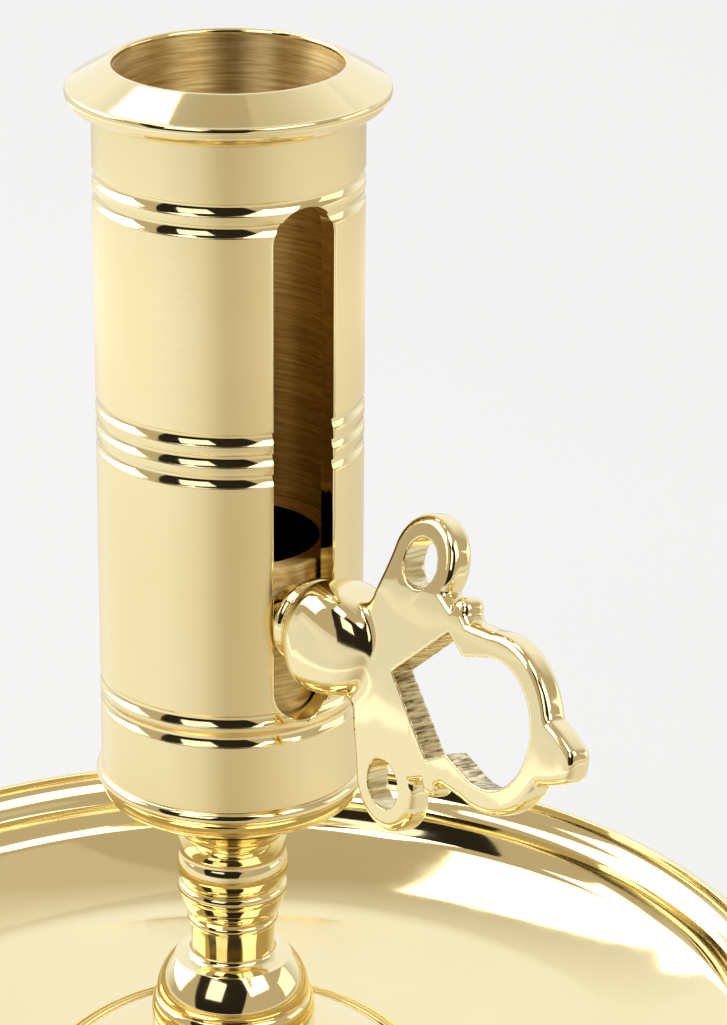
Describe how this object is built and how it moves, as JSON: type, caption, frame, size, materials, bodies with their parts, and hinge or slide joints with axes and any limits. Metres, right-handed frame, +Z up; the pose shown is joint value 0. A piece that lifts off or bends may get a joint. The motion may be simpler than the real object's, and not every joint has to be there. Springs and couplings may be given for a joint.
{
  "type": "push-up candlestick",
  "caption": "Push-up candlestick: a slotted brass tube on a turned stem and a round drip dish, with a pierced thumb piece that slides the candle up.",
  "frame": {"origin": "on the table under the middle of the drip dish", "axes": "+Z up along the axis of the candle tube, +X from that axis towards the thumb piece"},
  "size_m": [0.1204, 0.1204, 0.1198],
  "materials": {
    "polished_brass": "mirror polished",
    "satin_brass": "satin, brushed round the tube",
    "steel": "plain"
  },
  "bodies": {
    "body": {"drip_dish": "polished_brass", "stem_flange": "polished_brass", "stem": "polished_brass", "tube_base": "polished_brass", "candle_tube": "satin_brass", "rim_collar": "polished_brass", "tie_rod": "steel", "tie_washer": "steel", "lock_washer": "steel", "tie_nut": "steel"},
    "ejector": {"follower_cup": "satin_brass", "thumb_piece": "polished_brass", "ejector_screw": "steel", "friction_spring": "steel", "spring_rivet": "satin_brass"}
  },
  "joints": [
    {"name": "ejector_slide", "type": "slide", "parent": "body", "child": "ejector", "axis": [0, 0, 1], "range_m": [-0.006, 0.0397]}
  ]
}
